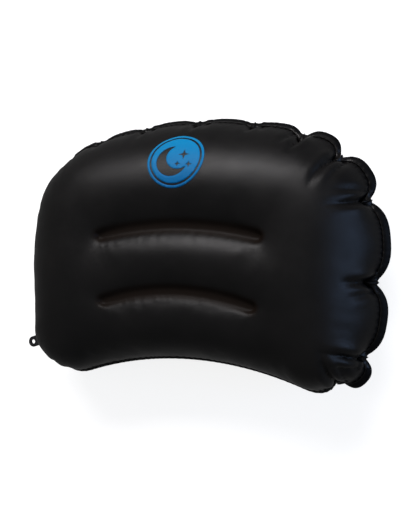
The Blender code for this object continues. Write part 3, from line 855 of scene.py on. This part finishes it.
def strap(name, corners, bend, width, valve):
    """A flat strap with rounded edges that follows a path given in the valve's (y, z)."""
    path = along_path([Vector((0.0, y, z)) for y, z in corners], bend)
    half, thick, edge = width / 2.0, STRAP_THICKNESS / 2.0, STRAP_ROUND
    section = [
        (half, thick - edge), (half - edge, thick), (edge - half, thick), (-half, thick - edge),
        (-half, edge - thick), (edge - half, -thick), (half - edge, -thick), (half, edge - thick),
    ]
    bm = bmesh.new()
    rows = []
    for index, point in enumerate(path):
        ahead = (path[min(index + 1, len(path) - 1)] - path[max(index - 1, 0)]).normalized()
        side = Vector((1.0, 0.0, 0.0))
        top = side.cross(ahead)
        rows.append([bm.verts.new(valve @ (point + side * x + top * z)) for x, z in section])
    for row, following in zip(rows, rows[1:]):
        for i in range(len(section)):
            j = (i + 1) % len(section)
            bm.faces.new((row[i], row[j], following[j], following[i]))
    bm.faces.new(rows[0])
    bm.faces.new(rows[-1][::-1])
    bmesh.ops.recalc_face_normals(bm, faces=bm.faces)
    mesh = mesh_from(name, bm)
    for polygon in mesh.polygons:
        polygon.use_smooth = len(polygon.vertices) == 4
    return add_object(name, mesh)


# ---- materials
def set_inputs(node, **values):
    """Sets inputs by their names, with _ for a space."""
    for name, value in values.items():
        node.inputs[name.replace("_", " ")].default_value = value
    return node


class Look:
    """A Principled material and small helpers to wire its nodes."""

    def __init__(self, name, colour, roughness):
        self.material = bpy.data.materials.new(name)
        self.material.use_nodes = True
        self.nodes = self.material.node_tree.nodes
        self.links = self.material.node_tree.links
        self.shader = next(node for node in self.nodes if node.type == "BSDF_PRINCIPLED")
        self.set(Base_Color=(*colour, 1.0), Roughness=roughness)
        self.place = self.nodes.new("ShaderNodeTexCoord").outputs["Object"]

    def set(self, **values):
        set_inputs(self.shader, **values)

    def noise(self, scale, detail=3.0, stretch=(1.0, 1.0, 1.0)):
        mapping = set_inputs(self.nodes.new("ShaderNodeMapping"), Scale=stretch)
        self.links.new(self.place, mapping.inputs["Vector"])
        node = set_inputs(self.nodes.new("ShaderNodeTexNoise"), Scale=scale, Detail=detail)
        self.links.new(mapping.outputs["Vector"], node.inputs["Vector"])
        return node.outputs["Fac"]

    def threads(self, spacing):
        """Height of a plain weave: two sets of threads that cross at right angles."""
        split = self.nodes.new("ShaderNodeSeparateXYZ")
        self.links.new(self.place, split.inputs["Vector"])
        waves = []
        for axis in ("X", "Y"):
            turn = self.math("MULTIPLY", split.outputs[axis], 2.0 * math.pi / spacing)
            waves.append(self.math("SINE", turn))
        return self.math("MULTIPLY", waves[0], waves[1])

    def math(self, operation, first, second=None):
        node = self.nodes.new("ShaderNodeMath")
        node.operation = operation
        for socket, value in zip(node.inputs, (first, second)):
            if value is None:
                continue
            if isinstance(value, (int, float)):
                socket.default_value = value
            else:
                self.links.new(value, socket)
        return node.outputs["Value"]

    def spread(self, value, low, high, from_low=0.3, from_high=0.7):
        node = self.nodes.new("ShaderNodeMapRange")
        set_inputs(node, From_Min=from_low, From_Max=from_high, To_Min=low, To_Max=high)
        self.links.new(value, node.inputs["Value"])
        return node.outputs["Result"]

    def ramp(self, value, stops):
        node = self.nodes.new("ShaderNodeValToRGB")
        for index, (place, colour) in enumerate(stops):
            if index < 2:
                stop = node.color_ramp.elements[index]
                stop.position = place
            else:
                stop = node.color_ramp.elements.new(place)
            stop.color = (*colour, 1.0)
        self.links.new(value, node.inputs["Fac"])
        return node.outputs["Color"]

    def mix(self, share, value, colour):
        """Runs from value to a plain colour as share goes from 0 to 1."""
        node = self.nodes.new("ShaderNodeMixRGB")
        self.links.new(share, node.inputs["Fac"])
        self.links.new(value, node.inputs["Color1"])
        node.inputs["Color2"].default_value = (*colour, 1.0)
        return node.outputs["Color"]

    def attribute(self, name):
        node = self.nodes.new("ShaderNodeAttribute")
        node.attribute_name = name
        return node.outputs["Fac"]

    def colour(self, value):
        self.links.new(value, self.shader.inputs["Base Color"])

    def two_tone(self, noise, dark, light, full=0.7):
        """Colour that wanders between two tones."""
        self.colour(self.ramp(noise, [(0.3, dark), (full, light)]))

    def roughness(self, value):
        self.links.new(value, self.shader.inputs["Roughness"])

    def bump(self, layers):
        """Stacks height maps, given as (height, strength, depth in metres)."""
        previous = None
        for height, strength, depth in layers:
            node = set_inputs(self.nodes.new("ShaderNodeBump"), Strength=strength, Distance=depth)
            self.links.new(height, node.inputs["Height"])
            if previous:
                self.links.new(previous, node.inputs["Normal"])
            previous = node.outputs["Normal"]
        self.links.new(previous, self.shader.inputs["Normal"])


SLOT_WALL_PAINTED_LIGHT = (0.0052, 0.0036, 0.0028)  # painted light: the lit lower walls of the slots, drawn as a lighter, browner colour on the strips by the webs
CLOTH_SHEEN, STRIP_SHEEN = 0.12, 0.03
THREAD_SPACING = 0.00045
WELD_HIGHLIGHT_SHARE = 0.25                    # how much lighter the cloth is painted by the weld, a painted highlight, and how much smoother it is there
WELD_SMOOTHER = 0.08


def coated_cloth(name, dark, light, low_rough, high_rough):
    """Black polyester with a satin coating: fine weave, slight crumple, painted lighter by the weld as a
    highlight and smoother there, with painted light on the slot walls.
    """
    look = Look(name, dark, low_rough)
    look.set(Specular_IOR_Level=CLOTH_SHEEN)
    mottle = look.noise(24.0, 4.0)
    # painted highlight: near the weld, where the pillow's edges catch reflected light, the cloth is drawn
    # lighter
    weld_highlight_and_gloss = look.attribute("weld_highlight_nearness")
    painted_weld_highlight = look.math("MULTIPLY", weld_highlight_and_gloss, WELD_HIGHLIGHT_SHARE)
    tint = look.math("ADD", look.math("MULTIPLY", mottle, 0.8), painted_weld_highlight)
    cloth = look.ramp(tint, [(0.25, dark), (0.75, light)])
    # painted light: by the slots the cloth's colour runs to a lighter brown that stands for their lit lower
    # walls, and its specular level drops
    strip = look.attribute("slot_light_nearness")
    look.colour(look.mix(strip, cloth, SLOT_WALL_PAINTED_LIGHT))
    sheen = look.spread(strip, CLOTH_SHEEN, STRIP_SHEEN, 0.0, 1.0)
    look.links.new(sheen, look.shader.inputs["Specular IOR Level"])
    rubbed = look.spread(look.noise(60.0, 5.0), low_rough, high_rough)
    look.roughness(look.math("SUBTRACT", rubbed, look.math("MULTIPLY", weld_highlight_and_gloss, WELD_SMOOTHER)))
    look.bump([
        (look.noise(38.0, 4.0), 0.10, 0.0010),
        (look.noise(210.0, 3.0), 0.12, 0.0003),
        (look.threads(THREAD_SPACING), 0.25, 0.00005),
    ])
    return look.material


def web_cloth():
    look = Look("web_cloth_look", (0.030, 0.030, 0.033), 0.6)
    look.two_tone(look.noise(90.0, 4.0), (0.024, 0.024, 0.027), (0.038, 0.038, 0.041))
    look.roughness(look.spread(look.noise(130.0, 4.0), 0.52, 0.68))
    look.bump([(look.threads(0.0006), 0.4, 0.00008)])
    return look.material


def smooth_film(name, dark, light, low_rough, high_rough, sheen=0.15):
    """Heat-formed film: smooth, with faint flow marks and small scuffs."""
    look = Look(name, dark, low_rough)
    look.set(Specular_IOR_Level=sheen)
    look.two_tone(look.noise(140.0, 4.0), dark, light, 0.75)
    scuffs = look.noise(420.0, 5.0, (1.0, 0.25, 1.0))
    look.roughness(look.spread(scuffs, low_rough, high_rough))
    look.bump([(look.noise(700.0, 3.0), 0.15, 0.00008), (look.noise(90.0, 2.0), 0.10, 0.0003)])
    return look.material


def silicone():
    look = Look("silicone_look", (0.45, 0.45, 0.43), 0.35)
    look.set(Subsurface_Weight=0.15, Subsurface_Radius=(0.002, 0.002, 0.002))
    look.two_tone(look.noise(220.0, 3.0), (0.40, 0.40, 0.38), (0.50, 0.50, 0.48))
    look.roughness(look.spread(look.noise(500.0, 3.0), 0.30, 0.42))
    look.bump([(look.noise(900.0, 2.0), 0.12, 0.00005)])
    return look.material


def print_ink():
    """Screen print that runs from sky blue at the top to a deeper blue, with the weave showing."""
    look = Look("print_ink_look", (0.03, 0.30, 0.70), 0.4)
    look.set(Specular_IOR_Level=0.05)
    split = look.nodes.new("ShaderNodeSeparateXYZ")
    look.links.new(look.place, split.inputs["Vector"])
    low, high = EMBLEM_CENTRE.y - EMBLEM_RADIUS, EMBLEM_CENTRE.y + EMBLEM_RADIUS
    rise = look.spread(split.outputs["Y"], 0.0, 1.0, low, high)
    patchy = look.math("MULTIPLY", look.math("SUBTRACT", look.noise(160.0, 5.0), 0.5), 0.22)
    deep, middle, sky = (0.0005, 0.058, 0.165), (0.0005, 0.095, 0.225), (0.0005, 0.125, 0.265)
    stops = [(0.0, deep), (1.0, sky), (0.5, middle)]
    look.colour(look.ramp(look.math("ADD", rise, patchy), stops))
    look.roughness(look.spread(look.noise(500.0, 4.0), 0.34, 0.50))
    look.bump([(look.threads(THREAD_SPACING), 0.3, 0.00005), (look.noise(260.0, 4.0), 0.1, 0.0001)])
    return look.material


def pale_floor():
    look = Look("floor_look", (0.30, 0.30, 0.30), 0.8)
    look.set(Specular_IOR_Level=0.2, Emission_Color=(1.0, 1.0, 1.0, 1.0), Emission_Strength=FLOOR_GLOW)
    look.two_tone(look.noise(3.0, 3.0), (0.29, 0.29, 0.29), (0.31, 0.31, 0.31))
    return look.material


def paint(piece, *materials):
    """Gives a new piece its materials, in the order of its faces' material numbers."""
    for material in materials:
        piece.data.materials.append(material)


# ---- assembly
TAB_EDGE = 0.0004                      # widths of the rounded edges
FILM_EDGE = 0.0003
SEAT_EDGE = 0.00015
DISC_EDGE = 0.0001


def soften_edges(node, width):
    bevel = node.modifiers.new("Bevel", "BEVEL")
    bevel.width = width
    bevel.segments = 3
    bevel.limit_method = "ANGLE"
    bevel.angle_limit = math.radians(40.0)
    bevel.harden_normals = True


def dress_node(name, material, edge=0.0):
    node = frame["nodes"][name]
    for place in node.material_slots:
        place.material = material
    if edge:
        soften_edges(node, edge)


def build_pillow():
    weld = Weld()
    valve = valve_axes()
    front, back = pillow_panels(weld, valve)
    cloth = coated_cloth(
        "coated_cloth_look", (0.0016, 0.0015, 0.0016), (0.0040, 0.0036, 0.0036), 0.35, 0.44)
    # painted shade: the back's cloth is a darker copy of the front's, darkened for the shade the underside
    # lies in
    back_cloth = coated_cloth(
        "back_cloth_look", (0.0014, 0.0014, 0.0015), (0.0036, 0.0034, 0.0035), 0.32, 0.42)
    # painted shade: black welded film, its colour painted darker than the cloth's for the shade along the
    # pillow's edge
    welded = smooth_film(
        "welded_edge_shaded_look", (0.0010, 0.0010, 0.0011), (0.0024, 0.0024, 0.0026), 0.44, 0.56, 0.04)
    tab_film = smooth_film(
        "tab_film_look", (0.006, 0.006, 0.007), (0.011, 0.011, 0.012), 0.16, 0.30)
    for piece, material, node, place in (
        (front, cloth, "front_panel", "coated_cloth"),
        (back, back_cloth, "back_panel", "back_cloth"),
    ):
        paint(piece, material, welded)
        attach(piece, "pillow")
        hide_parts(node)
    badge = emblem(front)
    paint(badge, print_ink())
    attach(badge, "pillow")
    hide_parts("front_emblem")
    web = web_cloth()
    dress_node("upper_baffle", web)
    dress_node("lower_baffle", web)
    dress_node("corner_tab", tab_film, TAB_EDGE)
    return valve


# the straps' middles in the valve's (y, z), and two more points on each
PLUG_STRAP = [(0.0172, 0.0016), (0.0172, 0.00555), (0.0141, 0.00555)]
PLUG_STRAP_BLEND = [(0.0172, 0.0044), (0.0150, 0.00555)]
PLUG_STRAP_WIDTH = 0.0070
PLUG_STRAP_BEND = 0.0012
CAP_STRAP = [(-0.0152, 0.0072), (-0.0122, 0.0072), (-0.0092, 0.0072)]
CAP_STRAP_BLEND = [(-0.0138, 0.0072), (-0.0106, 0.0072)]
CAP_STRAP_WIDTH = 0.0050
CAP_STRAP_BEND = 0.0004


def build_valve(valve):
    film = smooth_film("valve_film_look", (0.014, 0.014, 0.016), (0.024, 0.024, 0.026), 0.26, 0.42)
    hard = smooth_film("seat_plastic_look", (0.17, 0.17, 0.17), (0.22, 0.22, 0.22), 0.32, 0.46)
    for name in ("valve_base", "valve_backing_ring", "deflate_plug", "inflate_cap"):
        dress_node(name, film, FILM_EDGE)
    dress_node("valve_seat", hard, SEAT_EDGE)
    dress_node("check_diaphragm", silicone(), DISC_EDGE)
    for name, path, bend, width, ends, bodies in (
        ("plug_strap", PLUG_STRAP, PLUG_STRAP_BEND, PLUG_STRAP_WIDTH, PLUG_STRAP_BLEND, ("pillow", "plug")),
        ("cap_strap", CAP_STRAP, CAP_STRAP_BEND, CAP_STRAP_WIDTH, CAP_STRAP_BLEND, ("plug", "cap")),
    ):
        piece = strap(name, path, bend, width, valve)
        paint(piece, film)
        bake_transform(piece)
        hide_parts(f"{name}_root", f"{name}_end")


# ---- floor, lights and camera
CAMERA_AROUND = math.radians(21.2)     # the camera stands this far towards the pillow's right end
CAMERA_ALONG = math.radians(-1.0)
CAMERA_ROLL = math.radians(0.8)
CAMERA_DISTANCE = 0.652
CAMERA_LENS = 44.1
CAMERA_SHIFT = (0.0330, -0.0172)
HORIZON = 0.20                         # brightness of the studio at floor level, and overhead
ZENITH = 0.46
WORLD_STOPS = (0.05, 0.85)             # heights between which the one turns into the other
FLOOR_GLOW = 0.80                      # a softly lit table, so that the shadow stays pale
FLOOR_GAP = 0.0003
FLOOR_HALF = 4.0
LIGHT_TARGET = (0.0, 0.0, 0.05)
# lights: name, place, size, power in watts, colour
LIGHTS = [
    ("top_light", (-0.15, 1.00, 0.92), (1.2, 0.4), 31.0, (1.0, 0.97, 0.98)),
    ("right_light", (1.25, 0.1, 0.42), (0.5, 1.0), 8.5, (0.40, 0.60, 1.0)),
]


def floor():
    bm = bmesh.new()
    bmesh.ops.create_grid(bm, x_segments=8, y_segments=8, size=FLOOR_HALF)
    piece = add_object("floor", mesh_from("floor", bm))
    piece.location.z = -FLOOR_GAP
    paint(piece, pale_floor())
    piece.visible_glossy = False


def panel_light(name, place, size, power, colour):
    light = bpy.data.lights.new(name, "AREA")
    light.shape = "RECTANGLE"
    light.size, light.size_y = size
    light.energy = power
    light.color = colour
    lamp = add_object(name, light)
    lamp.location = place
    lamp.rotation_euler = (Vector(LIGHT_TARGET) - Vector(place)).to_track_quat("-Z", "Y").to_euler()


def lights():
    for light in LIGHTS:
        panel_light(*light)
    world = bpy.data.worlds.new("studio")
    world.use_nodes = True
    nodes, links = world.node_tree.nodes, world.node_tree.links
    sky = next(node for node in nodes if node.type == "BACKGROUND")
    split = nodes.new("ShaderNodeSeparateXYZ")
    links.new(nodes.new("ShaderNodeTexCoord").outputs["Generated"], split.inputs["Vector"])
    fade = nodes.new("ShaderNodeValToRGB")
    for stop, place, grey in zip(fade.color_ramp.elements, WORLD_STOPS, (HORIZON, ZENITH)):
        stop.position = place
        stop.color = (grey, grey, grey, 1.0)
    links.new(split.outputs["Z"], fade.inputs["Fac"])
    links.new(fade.outputs["Color"], sky.inputs["Color"])
    bpy.context.scene.world = world


def camera():
    around, along = CAMERA_AROUND, CAMERA_ALONG
    up = Vector((0.0, math.cos(along), -math.sin(along)))
    level = Vector((0.0, -math.sin(along), -math.cos(along)))
    right = Vector((math.cos(around), 0.0, 0.0)) + level * math.sin(around)
    back = right.cross(up)
    target = Vector((0.0, 0.0, THICKNESS / 2.0))
    roll = Matrix.Rotation(CAMERA_ROLL, 3, back)
    matrix = Matrix((roll @ right, roll @ up, back)).transposed().to_4x4()
    matrix.translation = target + back * CAMERA_DISTANCE
    lens = bpy.data.cameras.new("camera")
    lens.lens = CAMERA_LENS
    lens.shift_x, lens.shift_y = CAMERA_SHIFT
    lens.clip_start = 0.01
    eye = add_object("camera", lens)
    eye.matrix_world = matrix
    bpy.context.scene.camera = eye


build_valve(build_pillow())
floor()
lights()
camera()
bpy.context.scene.view_settings.view_transform = "Standard"
